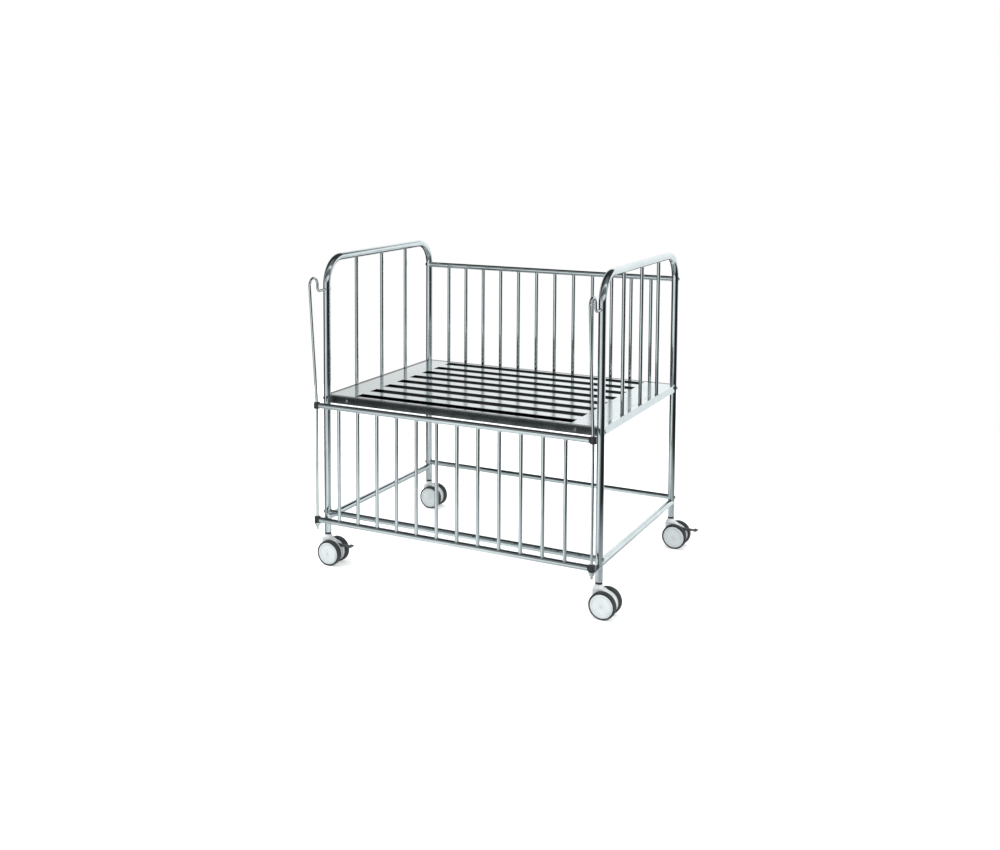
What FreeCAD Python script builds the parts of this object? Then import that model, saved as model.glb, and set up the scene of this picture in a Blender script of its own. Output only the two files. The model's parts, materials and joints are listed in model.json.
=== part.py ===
import FreeCAD, Part
import Sketcher
import math
import os

# Children's hospital bed of polished steel tube, about 1.24 m high, in millimetres.
# +X runs along the bed, +Y to its back, +Z up. The origin lies on the floor, below
# the middle of the bed's bounding box. The front side rail is shown lowered.

os.makedirs("parts", exist_ok=True)
doc = FreeCAD.newDocument("childrens_bed")

# Driving sizes, each written once
SIZES = (
    ("leg_pitch_x", 1150.0, "leg centre to leg centre along the bed"),
    ("leg_pitch_y", 850.0, "leg centre to leg centre across the bed"),
    ("leg_d", 28.0, "hoop tube outer diameter"),
    ("leg_wall", 1.5, "hoop tube wall"),
    ("leg_foot_z", 125.0, "lower end of the legs above the floor"),
    ("hoop_top_z", 1226.0, "axis of the hoop's top run"),
    ("hoop_bend_r", 100.0, "axis radius of the hoop's corners"),
    ("end_bar_d", 14.0, "upright bar in an end frame"),
    ("end_bar_pitch", 203.0, "spacing of the end bars"),
    ("end_bar_count", 3, "bars in each end frame"),
    ("side_tie_d", 25.0, "low tie across the bed"),
    ("side_tie_z", 186.0, "axis height of the low cross ties"),
    ("long_tie_d", 22.0, "low tie along the bed"),
    ("long_tie_z", 206.0, "axis height of the low long ties"),
    ("tie_wall", 1.5, "wall of the tie tubes"),
    ("deck_top_z", 683.0, "top face of the mattress deck"),
    ("deck_beam_height", 30.0, "height of the deck's box beams"),
    ("deck_beam_width", 19.0, "width of the deck's box beams"),
    ("deck_beam_wall", 1.5, "wall of the deck's box beams"),
    ("deck_sheet", 2.0, "deck sheet thickness"),
    ("plate_skirt", 20.0, "depth of an end plate's turned-down edges"),
    ("deck_gap", 0.3, "gap between the deck sheet and its beams"),
    ("slat_length", 912.0, "length of the deck slats"),
    ("slat_pitch", 108.0, "spacing of the deck slats"),
    ("slat_gap", 48.0, "gap between deck slats"),
    ("strip_least", 12.0, "least width of the sheet strips beside the slats"),
    ("slat_skirt", 14.0, "depth of a slat's turned-down edges"),
    ("ledge_width", 25.0, "width of the ledge below the deck's ends"),
    ("ledge_sheet", 3.0, "thickness of that ledge"),
    ("rail_tube_d", 22.0, "side rail top and bottom tube"),
    ("rail_wall", 1.5, "side rail tube wall"),
    ("rail_bar_d", 14.0, "side rail bar"),
    ("rail_bar_pitch", 86.0, "spacing of the side rail bars"),
    ("rail_bar_count", 12, "bars in each side rail"),
    ("rail_height", 458.0, "drop rail, bottom axis to top axis"),
    ("rail_low_z", 196.0, "bottom axis of the lowered drop rail"),
    ("rear_rail_drop", 103.0, "axis of the rear rail's top tube below the hoop's top run"),
    ("rod_d", 10.0, "guide rod diameter"),
    ("rod_offset", 75.0, "guide rod in front of the leg axis"),
    ("rod_foot_z", 158.0, "lower end of the guide rods"),
    ("rod_lean", 5.46, "lean of the upper rod from upright, in degrees"),
    ("rod_lean_r", 150.0, "axis radius of the bend below the lean"),
    ("crook_drop", 98.0, "start of the crook below the hoop's top run"),
    ("crook_r", 27.0, "axis radius of the crook"),
    ("crook_end_drop", 122.0, "rod's end at the leg below the hoop's top run"),
    ("crook_end_r", 15.0, "axis radius of the bend before that end"),
    ("guide_d", 24.0, "outer diameter of a guide's eye"),
    ("guide_height", 24.0, "height of a guide's eye"),
    ("guide_slide_gap", 0.3, "radial gap of the lower eyes on the rods"),
    ("guide_tilt_gap", 2.0, "radial gap of the upper eyes on the rods"),
    ("guide_spigot", 25.0, "depth of a guide's spigot in the rail tube"),
    ("spigot_gap", 0.08, "radial gap of a spigot in the rail tube"),
    ("guide_seat_gap", 0.3, "gap between lowered guide and lug"),
    ("guide_tube_gap", 1.0, "gap between a guide's eye and the tube's end"),
    ("lug_sheet", 5.0, "thickness of the lug that holds a rod's foot"),
    ("lug_width", 24.0, "width of that lug"),
    ("nut_width", 16.0, "nut below the lug, across flats"),
    ("nut_height", 8.0, "height of that nut"),
    ("cap_d", 14.0, "cap on the leg behind a rod's upper end"),
    ("cap_height", 5.0, "height of that cap"),
    ("bolt_d", 8.0, "frame bolt shank"),
    ("bolt_head_d", 14.0, "frame bolt dome head"),
    ("bolt_head", 5.0, "height of that dome head"),
    ("bolt_grip", 15.0, "bolt length inside the member that it holds"),
    ("screw_d", 6.0, "deck beam screw"),
    ("screw_head_d", 13.0, "dome head of that screw"),
    ("screw_head", 4.0, "height of that head"),
    ("screw_pitch", 960.0, "spacing of the screws along a deck beam"),
    ("wheel_d", 100.0, "castor wheel over its tyre"),
    ("wheel_width", 27.0, "width of one wheel"),
    ("tyre_depth", 7.0, "radial depth of a tyre"),
    ("tyre_round", 4.0, "rounding of a tyre's shoulders"),
    ("rim_crown", 2.0, "how far the wheel's face stands out at its middle"),
    ("castor_trail", 25.0, "wheel axle behind the swivel axis"),
    ("core_width", 30.0, "width of the castor body between the wheels"),
    ("core_d", 84.0, "diameter of that body"),
    ("wheel_gap", 1.5, "gap between wheel and castor body"),
    ("axle_d", 12.0, "castor axle"),
    ("axle_gap", 0.05, "radial running gap of the wheels on the axle"),
    ("axle_inset", 5.0, "axle end below the wheel's face"),
    ("neck_d", 28.0, "neck of the castor body round the king pin"),
    ("dome_d", 40.0, "foot of the dome below that neck"),
    ("dome_gap", 1.0, "gap between that dome and the wheels"),
    ("neck_top_gap", 0.5, "gap between neck and stem collar"),
    ("king_d", 12.0, "king pin"),
    ("king_length", 34.0, "king pin below the collar"),
    ("king_gap", 0.05, "radial running gap of the king pin"),
    ("collar_d", 26.0, "stem collar below the leg"),
    ("collar_height", 8.0, "height of that collar"),
    ("stem_length", 60.0, "stem inside the leg"),
    ("pedal_reach", 88.0, "pedal tip from the wheel axle"),
    ("pedal_width", 26.0, "width of the pedal's tread"),
    ("pedal_arm", 8.0, "thickness of the pedal's arm"),
    ("pedal_slot_gap", 0.6, "gap each side of the pedal's arm"),
    ("pedal_pin_d", 6.0, "pedal pivot pin"),
    ("pedal_pin_gap", 0.05, "radial running gap on that pin"),
    ("pedal_pivot_x", 24.0, "pedal pivot behind the axle"),
    ("pedal_pivot_z", 27.0, "pedal pivot above the axle"),
    ("pedal_tip_z", 31.0, "pedal tread above the axle"),
    ("pedal_tread", 14.0, "length of the pedal's tread"),
    ("pedal_sheet", 6.0, "thickness of the pedal's tread"),
)

sheet = doc.addObject("Spreadsheet::Sheet", "Sizes")
for row, (alias, number, note) in enumerate(SIZES, start=1):
    sheet.set("A%d" % row, note)
    sheet.set("B%d" % row, str(number))
    sheet.setAlias("B%d" % row, alias)
doc.recompute()

ORIGIN = FreeCAD.Vector(0, 0, 0)
TURN = {
    "Z": FreeCAD.Rotation(),
    "X": FreeCAD.Rotation(FreeCAD.Vector(0, 1, 0), 90),
    "Y": FreeCAD.Rotation(FreeCAD.Vector(1, 0, 0), -90),
}


def number(expression):
    """Value of an expression over the sheet's aliases."""
    return float(sheet.evalExpression(bind(expression)))


def bind(expression):
    """The same expression with each alias looked up in the sheet."""
    text = str(expression)
    for alias in ALIASES:
        text = text.replace("<%s>" % alias, "Sizes.%s" % alias)
    return text


ALIASES = [alias for alias, value, note in SIZES]

REAR_RAIL_Z = "(<hoop_top_z> - <rear_rail_drop>)"
CROOK_Z = "(<hoop_top_z> - <crook_drop>)"
CROOK_END_Z = "(<hoop_top_z> - <crook_end_drop>)"
ROD_BEND_Z = "(<rail_low_z> + <rail_height>)"

# Reach of the whole bed from the middle of its legs, which sets the origin
LEAN_Y = "(%s - %s) * tan(<rod_lean> * 1 deg)" % (CROOK_Z, ROD_BEND_Z)
CROOK_Y = "(<leg_pitch_y> / 2 + <rod_offset> + %s - <crook_r> * cos(<rod_lean> * 1 deg))" % LEAN_Y
REACH_FRONT = "(%s + <crook_r> + <rod_d> / 2)" % CROOK_Y
REACH_BACK = "(<leg_pitch_y> / 2 + <core_width> / 2 + <wheel_gap> + <wheel_width> + <rim_crown>)"
REACH_RIGHT = "(<leg_pitch_x> / 2 + <castor_trail> + <pedal_reach>)"
REACH_LEFT = "(<leg_pitch_x> / 2 - <castor_trail> + <wheel_d> / 2)"
MID_X = "((%s - %s) / 2)" % (REACH_LEFT, REACH_RIGHT)
MID_Y = "((%s - %s) / 2)" % (REACH_FRONT, REACH_BACK)
HEAD_X = "(%s - <leg_pitch_x> / 2)" % MID_X
FOOT_X = "(%s + <leg_pitch_x> / 2)" % MID_X
FRONT_Y = "(%s - <leg_pitch_y> / 2)" % MID_Y
BACK_Y = "(%s + <leg_pitch_y> / 2)" % MID_Y
ROD_Y = "(%s - <rod_offset>)" % FRONT_Y
ENDS = (("head", HEAD_X, -1), ("foot", FOOT_X, 1))
SIDES = (("front", FRONT_Y, -1), ("rear", BACK_Y, 1))

nodes = []


def place(item, where, axis="Z"):
    """Bind an object's position to the sheet and turn its own Z to an axis."""
    item.Placement = FreeCAD.Placement(ORIGIN, TURN[axis])
    for letter, expression in zip("xyz", where):
        item.setExpression("Placement.Base.%s" % letter, bind(expression))


def keep(item, label):
    """List an object as a sub-part of the bed."""
    item.Label = label
    nodes.append(item)
    return item


def cylinder(name, diameter, length, where, axis="Z"):
    item = doc.addObject("Part::Cylinder", name)
    item.setExpression("Radius", bind("(%s) / 2" % diameter))
    item.setExpression("Height", bind(length))
    place(item, where, axis)
    return item


def block(name, size, where):
    item = doc.addObject("Part::Box", name)
    for prop, expression in zip(("Length", "Width", "Height"), size):
        item.setExpression(prop, bind(expression))
    place(item, where)
    return item


def compound(name, items):
    item = doc.addObject("Part::Compound", name)
    item.Links = items
    return item


def fuse(name, items):
    item = doc.addObject("Part::MultiFuse", name)
    item.Shapes = items
    return item


def cut(name, base, tool):
    item = doc.addObject("Part::Cut", name)
    item.Base = base
    item.Tool = tool
    return item


def datum(body, role):
    """One of the planes and axes of a body's own origin."""
    return [o for o in body.Origin.OriginFeatures if o.Role == role][0]


def sketch_on(body, name, role="XY_Plane"):
    sketch = body.newObject("Sketcher::SketchObject", name)
    sketch.AttachmentSupport = (datum(body, role), [""])
    sketch.MapMode = "FlatFace"
    return sketch


def drive(sketch, constraint, expression, word):
    """Add a dimension to a sketch and bind it to the sheet."""
    index = sketch.addConstraint(constraint)
    sketch.renameConstraint(index, word)
    sketch.setExpression("Constraints.%s" % word, bind(expression))


def circle(sketch, diameter, word, across="0", up="0"):
    """A circle whose diameter and centre follow the sheet."""
    centre = FreeCAD.Vector(number(across), number(up), 0)
    shape = Part.Circle(centre, FreeCAD.Vector(0, 0, 1), number(diameter) / 2)
    index = sketch.addGeometry(shape)
    drive(sketch, Sketcher.Constraint("Diameter", index, number(diameter)), diameter, word)
    if (across, up) == ("0", "0"):
        sketch.addConstraint(Sketcher.Constraint("Coincident", index, 3, -1, 1))
    else:
        place_point(sketch, index, 3, across, up, word)
    return index


def place_point(sketch, index, end, across, up, word):
    """Dimension a point from the sketch's origin; a zero lies on the axis itself."""
    for kind, expression, axis in (("DistanceX", across, -2), ("DistanceY", up, -1)):
        size = number(expression)
        if abs(size) < 1e-9:
            sketch.addConstraint(Sketcher.Constraint("PointOnObject", index, end, axis))
        else:
            rule = Sketcher.Constraint(kind, -1, 1, index, end, size)
            drive(sketch, rule, expression, "%s_%s" % (word, kind[-1].lower()))


def rectangle(sketch, width, height, word):
    """A rectangle centred on the sketch's origin."""
    half_w, half_h = number(width) / 2, number(height) / 2
    corners = [FreeCAD.Vector(x, y, 0) for x, y in
               ((-half_w, -half_h), (half_w, -half_h), (half_w, half_h), (-half_w, half_h))]
    first = sketch.GeometryCount
    for i in range(4):
        sketch.addGeometry(Part.LineSegment(corners[i], corners[(i + 1) % 4]))
    for i in range(4):
        ends = Sketcher.Constraint("Coincident", first + i, 2, first + (i + 1) % 4, 1)
        sketch.addConstraint(ends)
        level = "Horizontal" if i % 2 == 0 else "Vertical"
        sketch.addConstraint(Sketcher.Constraint(level, first + i))
    sketch.addConstraint(Sketcher.Constraint("Symmetric", first, 1, first + 1, 2, -1, 1))
    rule = Sketcher.Constraint("DistanceX", first, 1, first, 2, 2 * half_w)
    drive(sketch, rule, width, word + "_w")
    rule = Sketcher.Constraint("DistanceY", first + 1, 1, first + 1, 2, 2 * half_h)
    drive(sketch, rule, height, word + "_h")


def profile(sketch, points, word):
    """A closed outline whose corners follow the sheet."""
    corners = [FreeCAD.Vector(number(x), number(y), 0) for x, y in points]
    first = sketch.GeometryCount
    count = len(corners)
    for i in range(count):
        sketch.addGeometry(Part.LineSegment(corners[i], corners[(i + 1) % count]))
    for i in range(count):
        ends = Sketcher.Constraint("Coincident", first + i, 2, first + (i + 1) % count, 1)
        sketch.addConstraint(ends)
    for i, (x, y) in enumerate(points):
        place_point(sketch, first + i, 1, x, y, "%s%d" % (word, i))


def pad(body, sketch, length, midplane=False):
    item = body.newObject("PartDesign::Pad", sketch.Name + "_pad")
    item.Profile = sketch
    item.Midplane = midplane
    item.setExpression("Length", bind(length))
    return item


def pocket(body, sketch, length, midplane=False, backwards=False):
    item = body.newObject("PartDesign::Pocket", sketch.Name + "_pocket")
    item.Profile = sketch
    item.Midplane = midplane
    item.Reversed = backwards
    item.setExpression("Length", bind(length))
    return item


def revolve(body, sketch, axis="V_Axis"):
    item = body.newObject("PartDesign::Revolution", sketch.Name + "_turn")
    item.Profile = sketch
    item.ReferenceAxis = (sketch, [axis])
    item.Angle = 360
    return item


def sweep(body, name, section, path, edges):
    """Run a section along all edges of a path, as a bent tube or rod."""
    doc.recompute()
    item = body.newObject("PartDesign::AdditivePipe", name)
    item.Profile = section
    item.Spine = (path, ["Edge%d" % i for i in range(1, edges + 1)])
    item.Mode = "Standard"
    doc.recompute()
    return item


def row(body, features, direction, length, count):
    """Repeat features in a straight row of the given overall length."""
    item = body.newObject("PartDesign::LinearPattern", features[0].Name + "_row")
    item.Originals = features
    item.Direction = direction
    item.setExpression("Length", bind(length))
    item.setExpression("Occurrences", bind(count))
    for feature in features:
        feature.Visibility = False
    body.Tip = item
    return item


def body_named(name):
    body = doc.addObject("PartDesign::Body", name)
    body.AllowCompound = True
    return body


def tube(name, diameter, wall, length, where, axis):
    """A straight round tube along an axis, starting at a point."""
    body = body_named(name)
    sketch = sketch_on(body, name + "_section")
    circle(sketch, diameter, "outer")
    circle(sketch, "%s - 2 * %s" % (diameter, wall), "bore")
    pad(body, sketch, length)
    place(body, where, axis)
    return body


def box_beam(name, across, up, wall, length, where, axis):
    """A straight box beam along an axis, starting at a point."""
    body = body_named(name)
    sketch = sketch_on(body, name + "_section")
    rectangle(sketch, across, up, "outer")
    rectangle(sketch, "%s - 2 * %s" % (across, wall), "%s - 2 * %s" % (up, wall), "bore")
    pad(body, sketch, length)
    place(body, where, axis)
    return body


# The four upright leg spaces, which every member between the legs is notched to
leg_spaces = compound("leg_spaces", [
    cylinder("leg_space_%s_%s" % (end, side), "<leg_d>", "<hoop_top_z>", (x, y, "0"))
    for end, x, out in ENDS for side, y, way in SIDES
])


def between_legs_x(label, maker, z, y):
    """A member along the bed, notched to the legs that it runs between."""
    blank = maker(label + "_blank", "<leg_pitch_x>", (HEAD_X, y, z), "X")
    return keep(cut(label + "_cut", blank, leg_spaces), label)


def between_legs_y(label, maker, z, x):
    """A member across the bed, notched to the legs that it runs between."""
    blank = maker(label + "_blank", "<leg_pitch_y>", (x, FRONT_Y, z), "Y")
    return keep(cut(label + "_cut", blank, leg_spaces), label)


def make_hoop(end, x):
    """End hoop: two legs and the top run, bent from one tube, with bolt holes."""
    body = body_named("%s_hoop" % end)
    path = sketch_on(body, "%s_hoop_path" % end, "YZ_Plane")
    half = number("<leg_pitch_y> / 2")
    foot = number("<leg_foot_z>")
    top = number("<hoop_top_z>")
    bend = number("<hoop_bend_r>")
    shoulder = top - bend
    vector = FreeCAD.Vector
    path.addGeometry(Part.LineSegment(vector(-half, foot, 0), vector(-half, shoulder, 0)))
    corner = Part.Circle(vector(-half + bend, shoulder, 0), vector(0, 0, 1), bend)
    path.addGeometry(Part.ArcOfCircle(corner, math.pi / 2, math.pi))
    path.addGeometry(Part.LineSegment(vector(-half + bend, top, 0), vector(half - bend, top, 0)))
    corner = Part.Circle(vector(half - bend, shoulder, 0), vector(0, 0, 1), bend)
    path.addGeometry(Part.ArcOfCircle(corner, 0, math.pi / 2))
    path.addGeometry(Part.LineSegment(vector(half, shoulder, 0), vector(half, foot, 0)))
    path.addConstraint(Sketcher.Constraint("Tangent", 0, 2, 1, 2))
    path.addConstraint(Sketcher.Constraint("Tangent", 1, 1, 2, 1))
    path.addConstraint(Sketcher.Constraint("Tangent", 2, 2, 3, 2))
    path.addConstraint(Sketcher.Constraint("Tangent", 3, 1, 4, 1))
    path.addConstraint(Sketcher.Constraint("Vertical", 0))
    path.addConstraint(Sketcher.Constraint("Vertical", 4))
    path.addConstraint(Sketcher.Constraint("Horizontal", 2))
    path.addConstraint(Sketcher.Constraint("Equal", 1, 3))
    path.addConstraint(Sketcher.Constraint("Symmetric", 0, 1, 4, 2, -2))
    drive(path, Sketcher.Constraint("Radius", 1, bend), "<hoop_bend_r>", "bend")
    rule = Sketcher.Constraint("DistanceX", 0, 1, 4, 2, 2 * half)
    drive(path, rule, "<leg_pitch_y>", "spread")
    rule = Sketcher.Constraint("DistanceY", -1, 1, 0, 1, foot)
    drive(path, rule, "<leg_foot_z>", "foot")
    rule = Sketcher.Constraint("DistanceY", -1, 1, 2, 1, top)
    drive(path, rule, "<hoop_top_z>", "top")
    section = sketch_on(body, "%s_hoop_section" % end)
    section.setExpression("AttachmentOffset.Base.z", bind("<leg_foot_z>"))
    circle(section, "<leg_d>", "outer", "0", "-<leg_pitch_y> / 2")
    circle(section, "<leg_d> - 2 * <leg_wall>", "bore", "0", "-<leg_pitch_y> / 2")
    sweep(body, "%s_hoop_pipe" % end, section, path, 5)
    holes = sketch_on(body, "%s_bolt_holes" % end, "YZ_Plane")
    for side, z, word in BOLT_SEATS:
        circle(holes, "<bolt_d>", word, "%s * <leg_pitch_y> / 2" % side, z)
    pocket(body, holes, "2 * <leg_d>", midplane=True)
    place(body, (x, MID_Y, "0"))
    return keep(body, "%s_end_hoop" % end)


DECK_BEAM_Z = "(<deck_top_z> - <deck_beam_height> / 2)"
BOLT_SEATS = (
    ("-1", "<long_tie_z>", "front_tie"),
    ("-1", DECK_BEAM_Z, "front_deck"),
    ("1", "<long_tie_z>", "rear_tie"),
    ("1", DECK_BEAM_Z, "rear_deck"),
    ("1", REAR_RAIL_Z, "rear_rail"),
)


def make_end_frame(end, x, out):
    """Bars, deck cross beam and low tie of one end frame."""
    def cross_beam(name, length, where, axis):
        return box_beam(name, "<deck_beam_width>", "<deck_beam_height>",
                        "<deck_beam_wall>", length, where, axis)

    def low_tie(name, length, where, axis):
        return tube(name, "<side_tie_d>", "<tie_wall>", length, where, axis)

    between_legs_y("%s_deck_cross_beam" % end, cross_beam, DECK_BEAM_Z, x)
    between_legs_y("%s_low_tie" % end, low_tie, "<side_tie_z>", x)
    body = body_named("%s_bars_blank" % end)
    sketch = sketch_on(body, "%s_bar_section" % end)
    circle(sketch, "<end_bar_d>", "girth")
    bar = pad(body, sketch, "<hoop_top_z> - <deck_top_z>")
    across = (datum(body, "Y_Axis"), [""])
    row(body, [bar], across, "<end_bar_pitch> * (<end_bar_count> - 1)", "<end_bar_count>")
    start = "%s - <end_bar_pitch> * (<end_bar_count> - 1) / 2" % MID_Y
    place(body, (x, start, "<deck_top_z>"))
    top_run = cylinder("%s_top_run" % end, "<leg_d>", "<leg_pitch_y>",
                       (x, FRONT_Y, "<hoop_top_z>"), "Y")
    keep(cut("%s_bars_cut" % end, body, top_run), "%s_end_bars" % end)


def make_long_members():
    """Ties and deck beams along the bed."""
    def long_tie(name, length, where, axis):
        return tube(name, "<long_tie_d>", "<tie_wall>", length, where, axis)

    def deck_beam(name, length, where, axis):
        return box_beam(name, "<deck_beam_height>", "<deck_beam_width>",
                        "<deck_beam_wall>", length, where, axis)

    for side, y, way in SIDES:
        between_legs_x("%s_low_tie" % side, long_tie, "<long_tie_z>", y)
        blank = deck_beam(side + "_beam_blank", "<leg_pitch_x>", (HEAD_X, y, DECK_BEAM_Z), "X")
        edge = y if way > 0 else "%s - <deck_beam_width> / 2" % y
        holes = [cylinder("screw_hole_%s_%s" % (side, end), "<screw_d>", "<deck_beam_width> / 2",
                          ("%s + %d * <screw_pitch> / 2" % (MID_X, out), edge, DECK_BEAM_Z), "Y")
                 for end, x, out in ENDS]
        room = compound(side + "_beam_room", [leg_spaces] + holes)
        keep(cut(side + "_beam_cut", blank, room), "%s_deck_beam" % side)


def make_deck():
    """Folded sheet deck: an end plate on a ledge at each end, and slats between the plates.

    As many slats as the deck has room for lie between two strips of sheet."""
    inside_y = "(<leg_pitch_y> - <deck_beam_width> - 2 * <deck_gap>)"
    reach = "(<leg_pitch_x> / 2 - <deck_beam_width> / 2 - <deck_gap>)"
    width = "(%s - <slat_length> / 2)" % reach
    room = compound("deck_leg_room", [
        cylinder("deck_room_%s_%s" % (end, side), "<leg_d> + 2 * <deck_gap>", "<hoop_top_z>",
                 (x, y, "0"))
        for end, x, out in ENDS for side, y, way in SIDES
    ])
    plates = []
    ledges = []
    for end, x, out in ENDS:
        middle = "%s + %d * (%s + <slat_length> / 2) / 2" % (MID_X, out, reach)
        blank = folded(end + "_plate_blank", width, inside_y, "<plate_skirt>", middle, MID_Y)
        plates.append(cut(end + "_plate", blank, room))
        inner = "%s - %d * <deck_beam_width> / 2" % (x, out)
        edge = "%s - %s" % (inner, "<ledge_width>" if out > 0 else "0")
        under = "<deck_top_z> - <plate_skirt> - <ledge_sheet>"
        ledges.append(block("%s_ledge" % end,
                            ("<ledge_width>", "<leg_pitch_y> - 2 * <leg_d>", "<ledge_sheet>"),
                            (edge, "%s + <leg_d>" % FRONT_Y, under)))
    keep(compound("ledges", ledges), "deck_ledges")
    keep(compound("plates", plates), "deck_end_plates")
    count = "floor((%s - <slat_gap> - 2 * <strip_least>) / <slat_pitch>)" % inside_y
    reach_y = "<slat_pitch> * (%s - 1)" % count
    slat = folded("slat_row", "<slat_length>", "<slat_pitch> - <slat_gap>", "<slat_skirt>",
                  MID_X, "%s - %s / 2" % (MID_Y, reach_y))
    across = (datum(slat, "Y_Axis"), [""])
    folds = [item for item in slat.Group if item.isDerivedFrom("PartDesign::Feature")]
    row(slat, folds, across, reach_y, count)
    strip = "((%s - <slat_pitch> * %s - <slat_gap>) / 2)" % (inside_y, count)
    strips = [folded(side + "_strip", "<slat_length>", strip, "<slat_skirt>", MID_X,
                     "%s + %d * (%s - %s) / 2" % (MID_Y, way, inside_y, strip))
              for side, y, way in SIDES]
    keep(compound("slats", [slat] + strips), "deck_slats")


def folded(name, length, width, skirt, x, y):
    """A sheet centred on (x, y), flush with the deck's top, with its four edges turned down."""
    body = body_named(name)
    outline = sketch_on(body, name + "_outline")
    rectangle(outline, length, width, "sheet")
    pad(body, outline, skirt)
    hollow = sketch_on(body, name + "_hollow")
    rectangle(hollow, length + " - 2 * <deck_sheet>", width + " - 2 * <deck_sheet>", "in")
    pocket(body, hollow, skirt + " - <deck_sheet>", backwards=True)
    doc.recompute()
    place(body, (x, y, "<deck_top_z> - " + skirt))
    return body


def make_bars(name, length, where, tubes):
    """A row of rail bars whose ends are notched to the rail tubes."""
    body = body_named(name + "_blank")
    sketch = sketch_on(body, name + "_section")
    circle(sketch, "<rail_bar_d>", "girth")
    bar = pad(body, sketch, length)
    along = (datum(body, "X_Axis"), [""])
    row(body, [bar], along, "<rail_bar_pitch> * (<rail_bar_count> - 1)", "<rail_bar_count>")
    place(body, where)
    return keep(cut(name + "_cut", body, tubes), name)


BAR_START = "%s - <rail_bar_pitch> * (<rail_bar_count> - 1) / 2" % MID_X


def make_rear_rail():
    """Fixed rear rail: a top tube between the rear legs and bars down to the deck beam."""
    def top_tube(name, length, where, axis):
        return tube(name, "<rail_tube_d>", "<rail_wall>", length, where, axis)

    between_legs_x("rear_rail_top", top_tube, REAR_RAIL_Z, BACK_Y)
    top_space = cylinder("rear_top_space", "<rail_tube_d>", "<leg_pitch_x>",
                         (HEAD_X, BACK_Y, REAR_RAIL_Z), "X")
    make_bars("rear_rail_bars", "%s - <deck_top_z>" % REAR_RAIL_Z,
              (BAR_START, BACK_Y, "<deck_top_z>"), top_space)


RAIL_HALF = "(<leg_pitch_x> / 2 - <guide_d> / 2 - <guide_tube_gap>)"


def make_front_rail():
    """Drop rail: two tubes, their bars, and the plastic guides that ride on the rods."""
    spaces = []
    for level, z in (("bottom", "<rail_low_z>"), ("top", "(<rail_low_z> + <rail_height>)")):
        start = "%s - %s" % (MID_X, RAIL_HALF)
        rail = tube("front_rail_%s_body" % level, "<rail_tube_d>", "<rail_wall>",
                    "2 * %s" % RAIL_HALF, (start, ROD_Y, z), "X")
        keep(rail, "front_rail_%s" % level)
        spaces.append(cylinder("front_%s_space" % level, "<rail_tube_d>",
                               "2 * %s" % RAIL_HALF, (start, ROD_Y, z), "X"))
        gap = "<guide_slide_gap>" if level == "bottom" else "<guide_tilt_gap>"
        guides = [make_guide(level, end, x, out, z, gap) for end, x, out in ENDS]
        keep(compound("%s_guides" % level, guides), "rail_%s_guides" % level)
    make_bars("front_rail_bars", "<rail_height>", (BAR_START, ROD_Y, "<rail_low_z>"),
              compound("front_tube_spaces", spaces))


def make_guide(level, end, x, out, z, gap):
    """An eye round the guide rod, with a spigot in the rail tube's bore."""
    name = "%s_guide_%s" % (level, end)
    eye = cylinder(name + "_eye", "<guide_d>", "<guide_height>",
                   (x, ROD_Y, "%s - <guide_height> / 2" % z))
    reach = "(<guide_d> / 2 + <guide_tube_gap> + <guide_spigot>)"
    start = x if out < 0 else "%s - %s" % (x, reach)
    bore = "(<rail_tube_d> - 2 * <rail_wall> - 2 * <spigot_gap>)"
    spigot = cylinder(name + "_spigot", bore, reach, (start, ROD_Y, z), "X")
    hole = cylinder(name + "_hole", "<rod_d> + 2 * %s" % gap, "<guide_height>",
                    (x, ROD_Y, "%s - <guide_height> / 2" % z))
    return cut(name, fuse(name + "_solid", [eye, spigot]), hole)


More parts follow.
